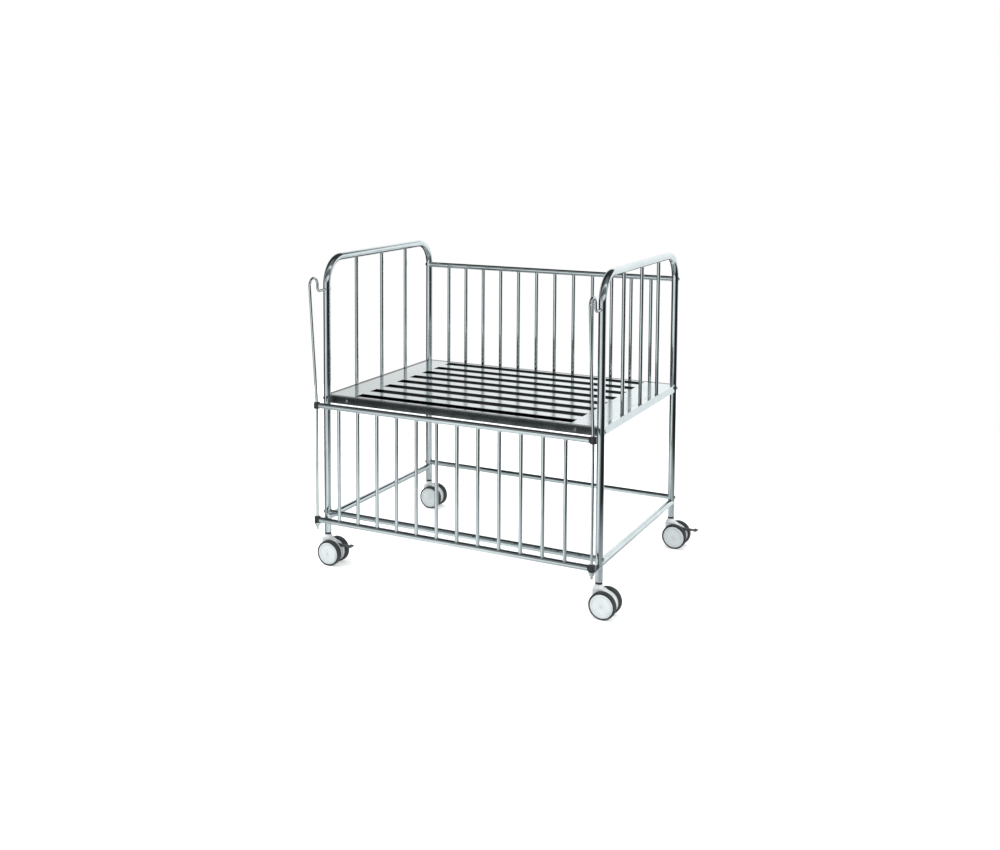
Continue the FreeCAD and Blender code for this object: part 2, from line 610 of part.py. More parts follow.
def rod_path(body, name):
    """Axis of a guide rod: upright, leaning out above the rail, the crook, then in to the leg."""
    path = sketch_on(body, name, "YZ_Plane")
    lean = math.radians(number("<rod_lean>"))
    lean_r = number("<rod_lean_r>")
    crook_r = number("<crook_r>")
    end_r = number("<crook_end_r>")
    bend_z = number(ROD_BEND_Z)
    crook_z = number(CROOK_Z)
    end_z = number(CROOK_END_Z)

    def point(across, up):
        return FreeCAD.Vector(across, up, 0)

    def arc(centre, radius, start, end):
        shape = Part.Circle(centre, FreeCAD.Vector(0, 0, 1), radius)
        path.addGeometry(Part.ArcOfCircle(shape, start, end))

    bend = point(-lean_r, bend_z - lean_r * math.tan(lean / 2))
    crook_in = point((bend_z - crook_z) * math.tan(lean), crook_z)
    crook = crook_in + point(crook_r * math.cos(lean), crook_r * math.sin(lean))
    crook_out = crook + point(crook_r, 0)
    turn = point(crook_out.x + end_r, end_z + end_r)
    path.addGeometry(Part.LineSegment(point(0, number("<rod_foot_z>")), bend + point(lean_r, 0)))
    arc(bend, lean_r, 0, lean)
    lean_start = bend + point(lean_r * math.cos(lean), lean_r * math.sin(lean))
    path.addGeometry(Part.LineSegment(lean_start, crook_in))
    arc(crook, crook_r, 0, math.pi + lean)
    path.addGeometry(Part.LineSegment(crook_out, turn - point(end_r, 0)))
    arc(turn, end_r, math.pi, math.pi * 1.5)
    path.addGeometry(Part.LineSegment(turn - point(0, end_r), point(number("<rod_offset>"), end_z)))
    for first, end, second, start in ((0, 2, 1, 1), (1, 2, 2, 1), (2, 2, 3, 2), (3, 1, 4, 1),
                                      (4, 2, 5, 1), (5, 2, 6, 1)):
        path.addConstraint(Sketcher.Constraint("Tangent", first, end, second, start))
    path.addConstraint(Sketcher.Constraint("Vertical", 0))
    path.addConstraint(Sketcher.Constraint("Vertical", 4))
    path.addConstraint(Sketcher.Constraint("Horizontal", 6))
    for index, radius, word in ((1, "<rod_lean_r>", "lean_r"), (3, "<crook_r>", "crook_r"),
                                (5, "<crook_end_r>", "end_r")):
        drive(path, Sketcher.Constraint("Radius", index, number(radius)), radius, word)
    rule = Sketcher.Constraint("Angle", 2, math.pi / 2 + lean)
    drive(path, rule, "90 deg + <rod_lean> * 1 deg", "lean")
    place_point(path, 0, 1, "0", "<rod_foot_z>", "foot")
    rise = "%s - <rod_lean_r> * tan(<rod_lean> / 2 * 1 deg)" % ROD_BEND_Z
    for index, end, up, word in ((0, 2, rise, "bend"), (2, 2, CROOK_Z, "crook")):
        rule = Sketcher.Constraint("DistanceY", -1, 1, index, end, number(up))
        drive(path, rule, up, word)
    place_point(path, 6, 2, "<rod_offset>", CROOK_END_Z, "tip")
    return path


def make_rods():
    """Guide rods with their crooks, and the lugs and nuts that hold their feet."""
    lugs = []
    nuts = []
    lug_top = "(<rail_low_z> - <guide_height> / 2 - <guide_seat_gap>)"
    for end, x, out in ENDS:
        bent = body_named("%s_rod_bent" % end)
        path = rod_path(bent, "%s_rod_path" % end)
        section = sketch_on(bent, "%s_rod_section" % end)
        section.setExpression("AttachmentOffset.Base.z", bind("<rod_foot_z>"))
        circle(section, "<rod_d>", "girth")
        sweep(bent, "%s_rod_pipe" % end, section, path, 7)
        place(bent, (x, ROD_Y, "0"))
        keep(cut("%s_rod_cut" % end, bent, leg_spaces), "%s_guide_rod" % end)
        eye = cylinder("%s_lug_eye" % end, "<lug_width>", "<lug_sheet>",
                       (x, ROD_Y, lug_top + " - <lug_sheet>"))
        arm = block("%s_lug_arm" % end, ("<lug_width>", "<rod_offset>", "<lug_sheet>"),
                    ("%s - <lug_width> / 2" % x, ROD_Y, lug_top + " - <lug_sheet>"))
        hole = cylinder("%s_lug_hole" % end, "<rod_d>", "<lug_sheet>",
                        (x, ROD_Y, lug_top + " - <lug_sheet>"))
        solid = cut("%s_lug_notched" % end, fuse("%s_lug_solid" % end, [eye, arm]), leg_spaces)
        lugs.append(cut("%s_lug" % end, solid, hole))
        nuts.append(make_nut(end, x, lug_top + " - <lug_sheet> - <nut_height>"))
        nuts.append(cylinder("%s_rod_cap" % end, "<cap_d>", "<cap_height>",
                             (x, "%s + <leg_d> / 2" % FRONT_Y, CROOK_END_Z), "Y"))
    keep(compound("lugs", lugs), "rod_lugs")
    keep(compound("nuts", nuts), "rod_nuts")


def make_nut(end, x, z):
    """Hexagon nut on the foot of a guide rod."""
    prism = doc.addObject("Part::Prism", "%s_nut_prism" % end)
    prism.Polygon = 6
    prism.setExpression("Circumradius", bind("<nut_width> / sqrt(3)"))
    prism.setExpression("Height", bind("<nut_height>"))
    place(prism, (x, ROD_Y, z))
    hole = cylinder("%s_nut_hole" % end, "<rod_d>", "<nut_height>", (x, ROD_Y, z))
    return cut("%s_nut" % end, prism, hole)


def make_leg_collars():
    """A black ring under each leg, round the castor's king pin."""
    rings = []
    for corner, x, y, braked in CASTORS:
        z = "<leg_foot_z> - <collar_height>"
        ring = cylinder("ring_" + corner, "<collar_d>", "<collar_height>", (x, y, z))
        hole = cylinder("ring_hole_" + corner, "<king_d>", "<collar_height>", (x, y, z))
        rings.append(cut("collar_" + corner, ring, hole))
    keep(compound("collars", rings), "leg_collars")


def make_bolts():
    """Dome-head bolts through the legs into the long members, and screws in the deck beams."""
    bolts = []
    for word, y, way in SIDES:
        for end, x, out in ENDS:
            body = body_named("screw_%s_%s" % (word, end))
            sketch = sketch_on(body, body.Name + "_profile", "XZ_Plane")
            profile(sketch, (
                ("0", "-<deck_beam_wall>"),
                ("<screw_d> / 2", "-<deck_beam_wall>"),
                ("<screw_d> / 2", "0"),
                ("<screw_head_d> / 2", "0"),
                ("<screw_head_d> / 2", "<screw_head> / 3"),
                ("<screw_head_d> * 0.3", "<screw_head>"),
                ("0", "<screw_head>"),
            ), "s")
            revolve(body, sketch)
            face = "%s + %d * <deck_beam_width> / 2" % (y, way)
            place(body, ("%s + %d * <screw_pitch> / 2" % (MID_X, out), face, DECK_BEAM_Z), "Y")
            if way < 0:
                body.Placement.Rotation = FreeCAD.Rotation(FreeCAD.Vector(1, 0, 0), 90)
            bolts.append(body)
    for end, x, out in ENDS:
        for side, z, word in BOLT_SEATS:
            body = body_named("bolt_%s_%s" % (end, word))
            sketch = sketch_on(body, body.Name + "_profile", "XZ_Plane")
            dome_profile(sketch)
            revolve(body, sketch)
            where = ("%s + %d * <leg_d> / 2" % (x, out), "%s + %s * <leg_pitch_y> / 2"
                     % (MID_Y, side), z)
            place(body, where, "X")
            if out < 0:
                body.Placement.Rotation = FreeCAD.Rotation(FreeCAD.Vector(0, 1, 0), -90)
            bolts.append(body)
    keep(compound("bolts", bolts), "frame_bolts")


def dome_profile(sketch):
    """Half section of a bolt: shank below the seat, a low dome above it."""
    profile(sketch, (
        ("0", "-<leg_d> - <bolt_grip>"),
        ("<bolt_d> / 2", "-<leg_d> - <bolt_grip>"),
        ("<bolt_d> / 2", "0"),
        ("<bolt_head_d> / 2", "0"),
        ("<bolt_head_d> / 2", "<bolt_head> / 4"),
        ("<bolt_head_d> * 0.38", "<bolt_head> * 0.8"),
        ("<bolt_head_d> * 0.16", "<bolt_head>"),
        ("0", "<bolt_head>"),
    ), "p")


CASTORS = (
    ("front_head", HEAD_X, FRONT_Y, True),
    ("front_foot", FOOT_X, FRONT_Y, False),
    ("rear_head", HEAD_X, BACK_Y, False),
    ("rear_foot", FOOT_X, BACK_Y, True),
)
AXLE_Z = "(<wheel_d> / 2)"


def turned(name, label, points, where, axis="Z", flip=False):
    """A body turned from a half section given as radius and height."""
    body = body_named(name)
    sketch = sketch_on(body, name + "_section", "XZ_Plane")
    profile(sketch, points, "p")
    revolve(body, sketch)
    place(body, where, axis)
    if flip:
        body.Placement.Rotation = FreeCAD.Rotation(FreeCAD.Vector(1, 0, 0), 90)
    return keep(body, label)


def make_castor(corner, x, y, braked):
    """Twin-wheel swivel castor that trails towards the foot end."""
    name = "castor_%s" % corner
    axle_x = "(%s + <castor_trail>)" % x
    king_end = "(-<collar_height> - <king_length>)"
    bore = "(<leg_d> / 2 - <leg_wall>)"
    turned(name + "_stem_body", name + "_stem", (
        ("0", king_end),
        ("<king_d> / 2", king_end),
        ("<king_d> / 2", "0"),
        (bore, "0"),
        (bore, "<stem_length> - 4"),
        (bore + " - 4", "<stem_length>"),
        ("0", "<stem_length>"),
    ), (x, y, "<leg_foot_z>"))
    make_castor_body(name, x, y, axle_x, braked)
    half_axle = "(<core_width> / 2 + <wheel_gap> + <wheel_width> - <axle_inset>)"
    keep(cylinder(name + "_axle_body", "<axle_d>", "2 * %s" % half_axle,
                  (axle_x, "%s - %s" % (y, half_axle), AXLE_Z), "Y"), name + "_axle")
    for side, sign in (("front", -1), ("rear", 1)):
        inner_face = "%s + %d * (<core_width> / 2 + <wheel_gap>)" % (y, sign)
        make_wheel("%s_%s" % (name, side), (axle_x, inner_face, AXLE_Z), sign < 0)
    if braked:
        make_pedal(name, y, axle_x)


def make_wheel(name, where, flip):
    """Wheel disc with a crowned face and hub, and its tyre."""
    rim = "(<wheel_d> / 2 - <tyre_depth>)"
    hole = "(<axle_d> / 2 + <axle_gap>)"
    boss = "(<axle_d> / 2 + 7)"
    width = "<wheel_width>"
    turned(name + "_wheel_body", name + "_wheel", (
        (hole, "0"),
        (boss, "0"),
        (boss, width + " / 2"),
        (rim + " - 5", width + " / 2"),
        (rim + " - 4", "1"),
        (rim, "1"),
        (rim, width + " - 2"),
        (rim + " - 3", width),
        (rim + " * 0.6", width + " + <rim_crown> * 0.7"),
        (rim + " * 0.25", width + " + <rim_crown>"),
        ("0", width + " + <rim_crown>"),
        ("0", width + " - <axle_inset> + 1"),
        (hole, width + " - <axle_inset> + 1"),
    ), where, "Y", flip)
    outer = "(<wheel_d> / 2)"
    turned(name + "_tyre_body", name + "_tyre", (
        (rim, "1"),
        (outer + " - <tyre_round>", "1"),
        (outer + " - 1", "1 + <tyre_round> * 0.4"),
        (outer, "1 + <tyre_round>"),
        (outer, width + " - 1 - <tyre_round>"),
        (outer + " - 1", width + " - 1 - <tyre_round> * 0.4"),
        (outer + " - <tyre_round>", width + " - 1"),
        (rim, width + " - 2"),
    ), where, "Y", flip)


def make_castor_body(name, x, y, axle_x, braked):
    """Castor body: a disc between the wheels, swept up to the neck round the king pin."""
    neck_top = "(<leg_foot_z> - <collar_height> - <neck_top_gap>)"
    disc = cylinder(name + "_core", "<core_d>", "<core_width>",
                    (axle_x, "%s - <core_width> / 2" % y, AXLE_Z), "Y")
    neck_foot = "(<wheel_d> + <dome_gap>)"
    neck = body_named(name + "_neck")
    sketch = sketch_on(neck, name + "_neck_section", "XZ_Plane")
    profile(sketch, (
        ("0", neck_foot),
        ("<dome_d> / 2", neck_foot),
        ("<dome_d> / 2 - 0.5", "%s + 3" % neck_foot),
        ("<neck_d> / 2 + 1.5", "%s - 5" % neck_top),
        ("<neck_d> / 2", "%s - 2" % neck_top),
        ("<neck_d> / 2", neck_top),
        ("0", neck_top),
    ), "n")
    revolve(neck, sketch)
    place(neck, (x, y, "0"))
    web = body_named(name + "_web")
    sketch = sketch_on(web, name + "_web_outline", "XZ_Plane")
    profile(sketch, (
        ("-<dome_d> / 2 + 1", "<wheel_d> * 0.8"),
        ("-<dome_d> / 2 + 1", neck_foot),
        ("<dome_d> / 2 - 1", neck_foot),
        ("<castor_trail> + <core_d> * 0.25", "<wheel_d> / 2 + <core_d> * 0.43"),
        ("<castor_trail>", "<wheel_d> / 2"),
        ("<castor_trail> - <core_d> * 0.45", "<wheel_d> / 2"),
    ), "w")
    pad(web, sketch, "<core_width>", midplane=True)
    place(web, (x, y, "0"))
    solid = fuse(name + "_solid", [disc, neck, web])
    rooms = [
        cylinder(name + "_king_bore", "<king_d> + 2 * <king_gap>", "<king_length> + 1",
                 (x, y, "<leg_foot_z> - <collar_height> - <king_length> - 1")),
        cylinder(name + "_axle_bore", "<axle_d>", "<core_width>",
                 (axle_x, "%s - <core_width> / 2" % y, AXLE_Z), "Y"),
    ]
    if braked:
        rooms += pedal_room(name, y, axle_x)
    keep(cut(name + "_body_cut", solid, compound(name + "_rooms", rooms)), name + "_body")


PIVOT_Z = "(<wheel_d> / 2 + <pedal_pivot_z>)"


def pedal_room(name, y, axle_x):
    """Slot in the castor body for the pedal's arm, and the hole for its pin."""
    width = "(<pedal_arm> + 2 * <pedal_slot_gap>)"
    slot = block(name + "_pedal_slot", ("<core_d>", width, "<core_d>"),
                 ("%s + <pedal_pivot_x> - 9" % axle_x, "%s - %s / 2" % (y, width),
                  "<wheel_d> / 2 - <core_d> * 0.3"))
    pin = cylinder(name + "_pin_bore", "<pedal_pin_d>", "<core_width>",
                   ("%s + <pedal_pivot_x>" % axle_x, "%s - <core_width> / 2" % y, PIVOT_Z), "Y")
    return [slot, pin]


def make_pedal(name, y, axle_x):
    """Brake pedal on its pin: an arm between the wheels and a wide tread behind them."""
    pivot_x = "(%s + <pedal_pivot_x>)" % axle_x
    keep(cylinder(name + "_pin_body", "<pedal_pin_d>", "<core_width>",
                  (pivot_x, "%s - <core_width> / 2" % y, PIVOT_Z), "Y"), name + "_pedal_pin")
    arm = body_named(name + "_pedal_arm")
    sketch = sketch_on(arm, name + "_arm_outline", "XZ_Plane")
    tip = "<pedal_reach> - <pedal_tread>"
    profile(sketch, (
        ("<pedal_pivot_x> - 6", "<pedal_pivot_z> - 4"),
        ("<pedal_pivot_x> - 6", "<pedal_pivot_z> + 4"),
        ("<pedal_pivot_x> - 2", "<pedal_pivot_z> + 7"),
        ("<pedal_pivot_x> + 6", "<pedal_pivot_z> + 7"),
        (tip + " + 2", "<pedal_tip_z> + <pedal_sheet> / 2"),
        (tip + " + 2", "<pedal_tip_z> - <pedal_sheet> / 2"),
        ("<pedal_pivot_x> + 5", "<pedal_pivot_z> - 6"),
    ), "a")
    pad(arm, sketch, "<pedal_arm>", midplane=True)
    place(arm, (axle_x, y, AXLE_Z))
    tread = block(name + "_tread", ("<pedal_tread>", "<pedal_width>", "<pedal_sheet>"),
                  ("%s + %s" % (axle_x, tip), "%s - <pedal_width> / 2" % y,
                   "<wheel_d> / 2 + <pedal_tip_z> - <pedal_sheet> / 2"))
    hole = cylinder(name + "_pedal_bore", "<pedal_pin_d> + 2 * <pedal_pin_gap>", "<pedal_width>",
                    (pivot_x, "%s - <pedal_width> / 2" % y, PIVOT_Z), "Y")
    keep(cut(name + "_pedal_cut", fuse(name + "_pedal_solid", [arm, tread]), hole),
         name + "_pedal")


for end, x, out in ENDS:
    make_hoop(end, x)
    make_end_frame(end, x, out)
make_long_members()
make_deck()
make_rear_rail()
make_front_rail()
make_rods()
make_bolts()
make_leg_collars()
for corner, x, y, braked in CASTORS:
    make_castor(corner, x, y, braked)
doc.recompute()

# Nothing is written unless every object is sound
for item in doc.Objects:
    if "Invalid" in item.State or "Error" in item.State:
        raise RuntimeError("%s failed: %s" % (item.Name, item.State))
for item in nodes:
    if item.Shape.isNull() or not item.Shape.isValid() or not item.Shape.Solids:
        raise RuntimeError("%s has no sound shape" % item.Label)
for item in nodes:
    item.Shape.exportStep("parts/%s.step" % item.Label)
print("%d sub-parts" % len(nodes))
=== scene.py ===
import json
import math

import bmesh
import bpy
from mathutils import Matrix, Vector


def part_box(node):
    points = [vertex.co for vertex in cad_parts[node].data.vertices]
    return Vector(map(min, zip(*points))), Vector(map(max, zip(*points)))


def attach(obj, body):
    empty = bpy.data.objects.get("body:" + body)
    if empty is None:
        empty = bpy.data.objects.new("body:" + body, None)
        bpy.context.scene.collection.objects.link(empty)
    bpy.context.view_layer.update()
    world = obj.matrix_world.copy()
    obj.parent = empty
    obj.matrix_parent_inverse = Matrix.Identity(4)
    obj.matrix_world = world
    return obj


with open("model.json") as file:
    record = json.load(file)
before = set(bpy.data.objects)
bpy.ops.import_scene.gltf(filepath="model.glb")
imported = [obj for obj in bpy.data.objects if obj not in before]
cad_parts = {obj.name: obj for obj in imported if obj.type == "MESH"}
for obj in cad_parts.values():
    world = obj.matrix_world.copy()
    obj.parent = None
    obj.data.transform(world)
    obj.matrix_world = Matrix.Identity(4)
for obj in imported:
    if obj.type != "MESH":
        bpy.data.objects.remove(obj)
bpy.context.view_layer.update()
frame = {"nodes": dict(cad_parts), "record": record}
NODES = frame["nodes"]

# Shader nodes

COLOUR_A, COLOUR_B, COLOUR_RESULT = 6, 7, 2
NOISE_ROUGHNESS = 0.55
BLOTCH_DETAIL, GRAIN_DETAIL = 5.0, 4.0
BLOTCH_LOW, BLOTCH_HIGH = 0.3, 0.7
GRAIN_LOW, GRAIN_HIGH = 0.25, 0.8
GRAIN_DEPTH = 0.0002


def feed(tree, place, value):
    """Link a socket to an input, or write a plain value on it."""
    if isinstance(value, bpy.types.NodeSocket):
        tree.links.new(value, place)
    else:
        place.default_value = value


def node(tree, kind, **values):
    """Add a shader node, with its properties and its inputs given by name."""
    made = tree.nodes.new(kind)
    for key, value in values.items():
        if hasattr(made, key):
            setattr(made, key, value)
        else:
            feed(tree, made.inputs[key], value)
    return made


def maths(tree, operation, *values):
    """Result of a math node on sockets or plain numbers."""
    made = node(tree, "ShaderNodeMath", operation=operation)
    for place, value in zip(made.inputs, values):
        feed(tree, place, value)
    return made.outputs[0]


def parts(tree, vector):
    """X, Y and Z of a vector, as sockets by name."""
    return node(tree, "ShaderNodeSeparateXYZ", Vector=vector).outputs


def ramp(tree, source, stops):
    """Colour ramp through (position, grey or colour) stops."""
    made = tree.nodes.new("ShaderNodeValToRGB")
    points = made.color_ramp.elements
    for place, shade in stops[1:-1]:
        points.new(place)
    for point, (place, shade) in zip(points, stops):
        point.position = place
        point.color = (shade, shade, shade, 1) if isinstance(shade, float) else (*shade, 1)
    tree.links.new(source, made.inputs["Fac"])
    return made.outputs["Color"]


def mixed(tree, share, first, second, kind="MIX"):
    """Two colours mixed, or multiplied, by a share that is a socket or a number."""
    made = node(tree, "ShaderNodeMix", data_type="RGBA", blend_type=kind, Factor=share)
    feed(tree, made.inputs[COLOUR_A], first)
    feed(tree, made.inputs[COLOUR_B], second)
    return made.outputs[COLOUR_RESULT]


def switched(tree, share, first, second):
    """Shader that is the first at a share of 0 and the second at 1."""
    made = tree.nodes.new("ShaderNodeMixShader")
    for place, source in zip(made.inputs, (share, first, second)):
        tree.links.new(source, place)
    return made.outputs[0]


def noise(tree, scale, detail, stretch=(1, 1, 1)):
    """Noise in metres of the bed's frame, with its scale along each axis multiplied by stretch."""
    place = node(tree, "ShaderNodeTexCoord").outputs["Object"]
    scaled = node(tree, "ShaderNodeMapping", Vector=place, Scale=stretch).outputs["Vector"]
    made = node(tree, "ShaderNodeTexNoise", Vector=scaled, Scale=scale, Detail=detail,
                Roughness=NOISE_ROUGHNESS)
    return made.outputs["Fac"]


def material(name, shades, rough, blotch, grain, bump, metallic=0.0, stretch=(1, 1, 1)):
    """Principled surface: blotches tint it, fine grain sets its roughness and bump."""
    made = bpy.data.materials.new(name)
    made.use_nodes = True
    tree = made.node_tree
    inputs = tree.nodes["Principled BSDF"].inputs
    inputs["Metallic"].default_value = metallic
    blotches = noise(tree, blotch, BLOTCH_DETAIL)
    tint = ramp(tree, blotches, [(BLOTCH_LOW, shades[0]), (BLOTCH_HIGH, shades[1])])
    tree.links.new(tint, inputs["Base Color"])
    fine = noise(tree, grain, GRAIN_DETAIL, stretch)
    polish = ramp(tree, fine, [(GRAIN_LOW, rough[0]), (GRAIN_HIGH, rough[1])])
    tree.links.new(polish, inputs["Roughness"])
    lift = node(tree, "ShaderNodeBump", Strength=bump, Distance=GRAIN_DEPTH, Height=fine)
    tree.links.new(lift.outputs["Normal"], inputs["Normal"])
    return made


def base_colour(surface):
    """Node tree, base colour input, and the socket that feeds it."""
    tree = surface.node_tree
    place = tree.nodes["Principled BSDF"].inputs["Base Color"]
    return tree, place, place.links[0].from_socket


def paint_shade_on_folds(surface, dark):
    """Painted shade on the faces that stand upright on a folded sheet: they get a dark colour for
    the shade they stand in.
    """
    steep, shallow = 0.45, 0.75
    tree, place, tint = base_colour(surface)
    normal = parts(tree, node(tree, "ShaderNodeNewGeometry").outputs["Normal"])
    # Painted shade takes over as a face turns upright.
    flat = ramp(tree, normal["Z"], [(steep, 0.0), (shallow, 1.0)])
    tree.links.new(mixed(tree, flat, (*dark, 1), tint), place)


def paint_shade_on_edges(surface, middle_y, pitch, half_width):
    """Painted shade along the long edges of a row of sheet slats, where their rolled edges turn away
    from the light.
    """
    roll_start, roll_dark = 0.74, 0.93
    tree, place, tint = base_colour(surface)
    spot = parts(tree, node(tree, "ShaderNodeTexCoord").outputs["Object"])
    shifted = maths(tree, "SUBTRACT", spot["Y"], middle_y)
    away = maths(tree, "ABSOLUTE", maths(tree, "WRAP", shifted, pitch / 2, -pitch / 2))
    share = maths(tree, "DIVIDE", away, half_width)
    # Painted shade: the colour falls to near black towards each rolled edge.
    bright = ramp(tree, share, [(roll_start, 1.0), (roll_dark, 0.05)])
    tree.links.new(mixed(tree, 1.0, tint, bright, "MULTIPLY"), place)


# Surfaces

STEEL = material("polished_steel", ((0.54, 0.62, 0.64), (0.65, 0.72, 0.74)), (0.05, 0.12),
                 blotch=14.0, grain=260.0, bump=0.05, metallic=1.0)
# Deck beams: dark steel that paints in the shade their faces fall in.
SHADED_BEAM = material("deck_beam_painted_shade", ((0.07, 0.08, 0.082), (0.12, 0.13, 0.135)), (0.2, 0.34),
                blotch=8.0, grain=300.0, bump=0.05, metallic=1.0)
DECK = material("deck_steel", ((0.56, 0.62, 0.63), (0.68, 0.73, 0.74)), (0.08, 0.22),
                blotch=5.0, grain=60.0, bump=0.06, metallic=1.0, stretch=(0.5, 18, 18))
SLATS = material("slat_steel", ((0.60, 0.66, 0.67), (0.70, 0.75, 0.76)), (0.08, 0.2),
                 blotch=5.0, grain=60.0, bump=0.06, metallic=1.0, stretch=(0.5, 18, 18))
ZINC = material("plated_steel", ((0.50, 0.51, 0.52), (0.64, 0.65, 0.65)), (0.18, 0.32),
                blotch=60.0, grain=1400.0, bump=0.08, metallic=1.0)
# Near-black patch that paints the shadow inside a screw's hexagon socket.
PAINTED_SOCKET_SHADOW = material("socket_shadow", ((0.03, 0.03, 0.032), (0.05, 0.05, 0.053)), (0.4, 0.6),
                  blotch=90.0, grain=2000.0, bump=0.1, metallic=0.6)
BLACK = material("black_nylon", ((0.010, 0.011, 0.012), (0.022, 0.023, 0.025)), (0.32, 0.5),
                 blotch=9.0, grain=1600.0, bump=0.12)
BODY = material("castor_body_plastic", ((0.58, 0.62, 0.63), (0.68, 0.71, 0.72)), (0.35, 0.5),
                blotch=40.0, grain=1500.0, bump=0.1)
DISC = material("wheel_disc_plastic", ((0.54, 0.59, 0.60), (0.63, 0.67, 0.68)), (0.3, 0.45),
                blotch=30.0, grain=1500.0, bump=0.08)
TRIM = material("wheel_trim_plastic", ((0.50, 0.55, 0.56), (0.58, 0.62, 0.63)), (0.25, 0.4),
                blotch=30.0, grain=1500.0, bump=0.06)
TYRE = material("tyre_rubber", ((0.020, 0.022, 0.024), (0.040, 0.043, 0.046)), (0.55, 0.75),
                blotch=50.0, grain=2200.0, bump=0.2)
PEDAL = material("pedal_plastic", ((0.05, 0.053, 0.056), (0.08, 0.084, 0.088)), (0.4, 0.55),
                 blotch=60.0, grain=1800.0, bump=0.12)

# Surface of each material slot, and of the nodes that have one of their own
SURFACES = {
    "tube_steel": STEEL, "deck_steel": DECK, "plated_steel": ZINC, "guide_plastic": BLACK,
    "wheel_disc": DISC, "castor_body": BODY, "tyre": TYRE, "pedal": PEDAL,
}
# The deck beams' own surface is painted shade.
OWN_SURFACES = {
    "front_deck_beam": SHADED_BEAM, "rear_deck_beam": SHADED_BEAM, "head_deck_cross_beam": SHADED_BEAM,
    "deck_slats": SLATS,
}


def middle(name):
    """Middle of a node's box."""
    low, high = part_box(name)
    return (low + high) / 2


def paint_deck_shade():
    """Paint shade on the slats' rolled edges and on the upright folds of the slats and end plates.
    """
    slat_pitch = 0.108
    slat_width = 0.060
    paint_shade_on_edges(SLATS, middle("deck_slats").y, slat_pitch, slat_width / 2)
    # Near-black painted shade on the upright folds.
    paint_shade_on_folds(SLATS, (0.02, 0.023, 0.024))
    paint_shade_on_folds(DECK, (0.03, 0.035, 0.035))


def dress_nodes():
    """Give each CAD node the surface of its slot, or its own."""
    slot_of = {part["node"]: part["material_slot"] for part in frame["record"]["subparts"]}
    for name, item in NODES.items():
        surface = OWN_SURFACES.get(name, SURFACES[slot_of[name]])
        if not item.data.materials:
            item.data.materials.append(surface)
        for place in item.material_slots:
            place.material = surface


# Mesh tools


def skin(shape, rings):
    """Join rings of points, the last one back to the first, with smooth faces."""
    for low, high in zip(rings, rings[1:] + rings[:1]):
        for i, corner in enumerate(low):
            j = (i + 1) % len(low)
            shape.faces.new((corner, low[j], high[j], high[i])).smooth = True


def lathe(shape, profile, centre, axis, steps):
    """Turn a profile of (radius, height) points about an axis into the bmesh."""
    axis = Vector(axis).normalized()
    side = axis.orthogonal().normalized()
    other = axis.cross(side)
    rings = []
    for radius, height in profile:
        ring = []
        for i in range(steps):
            turn = 2 * math.pi * i / steps
            out = side * math.cos(turn) + other * math.sin(turn)
            ring.append(shape.verts.new(Vector(centre) + axis * height + out * radius))
        rings.append(ring)
    skin(shape, rings)


def piece(shape, name, surface, body):
    """Write a bmesh out as a piece of the object that rides on a CAD body."""
    bmesh.ops.recalc_face_normals(shape, faces=shape.faces)
    mesh = bpy.data.meshes.new(name)
    shape.to_mesh(mesh)
    shape.free()
    mesh.materials.append(surface)
    item = bpy.data.objects.new(name, mesh)
    bpy.context.scene.collection.objects.link(item)
    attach(item, body)


# Welds

# Fillet's outline as (distance out from the bar, rise above its seat)
WELD_PROFILE = ((-0.0004, 0.0024), (0.0002, 0.0024), (0.0007, 0.0011), (0.0017, 0.0004),
                (0.0019, -0.0003), (-0.0004, -0.0003))
WELD_STEPS = 28

# Radii of the tubes, counts of the bars, and directions
LEG_R = 0.014
RAIL_R = 0.011
LONG_TIE_R = 0.011
CROSS_TIE_R = 0.0125
SIDE_BARS = 12
END_BARS = 3
DECK_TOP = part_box("rear_rail_bars")[0].z
UP, DOWN = (0, 0, 1), (0, 0, -1)
ALONG_X, ALONG_Y = (1, 0, 0), (0, 1, 0)


def weld(shape, seat, way, along, bar_r, tube_r):
    """Fillet round a bar's end where it meets a tube, or a flat where tube_r is None.

    seat lies on the tube's axis, or on the flat. way is the bar's direction away from it, and
    along is a direction across the bar, the tube's own where there is one."""
    way = Vector(way)
    along = Vector(along)
    other = way.cross(along)
    rings = []
    for out, rise in WELD_PROFILE:
        radius = bar_r + out
        ring = []
        for i in range(WELD_STEPS):
            turn = 2 * math.pi * i / WELD_STEPS
            across = radius * math.sin(turn)
            depth = math.sqrt(max(tube_r ** 2 - across ** 2, 0.0)) if tube_r else 0.0
            spot = along * radius * math.cos(turn) + other * across + way * (depth + rise)
            ring.append(shape.verts.new(Vector(seat) + spot))
        rings.append(ring)
    skin(shape, rings)


def bar_places(name, count, axis):
    """Centres of a row of equal bars along x (0) or y (1), and the bars' radius."""
    low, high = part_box(name)
    radius = (high[1 - axis] - low[1 - axis]) / 2
    first, last = low[axis] + radius, high[axis] - radius
    other = (low[1 - axis] + high[1 - axis]) / 2
    places = [first + (last - first) * i / (count - 1) for i in range(count)]
    return [(place, other) if axis == 0 else (other, place) for place in places], radius


def rear_rail_welds():
    shape = bmesh.new()
    places, radius = bar_places("rear_rail_bars", SIDE_BARS, 0)
    top = middle("rear_rail_top").z
    for x, y in places:
        weld(shape, (x, y, DECK_TOP), UP, ALONG_X, radius, None)
        weld(shape, (x, y, top), DOWN, ALONG_X, radius, RAIL_R)
    piece(shape, "rear_rail_welds", STEEL, "frame")


def front_rail_welds():
    shape = bmesh.new()
    places, radius = bar_places("front_rail_bars", SIDE_BARS, 0)
    low, high = middle("front_rail_bottom").z, middle("front_rail_top").z
    for x, y in places:
        weld(shape, (x, y, low), UP, ALONG_X, radius, RAIL_R)
        weld(shape, (x, y, high), DOWN, ALONG_X, radius, RAIL_R)
    piece(shape, "front_rail_welds", STEEL, "drop_rail")


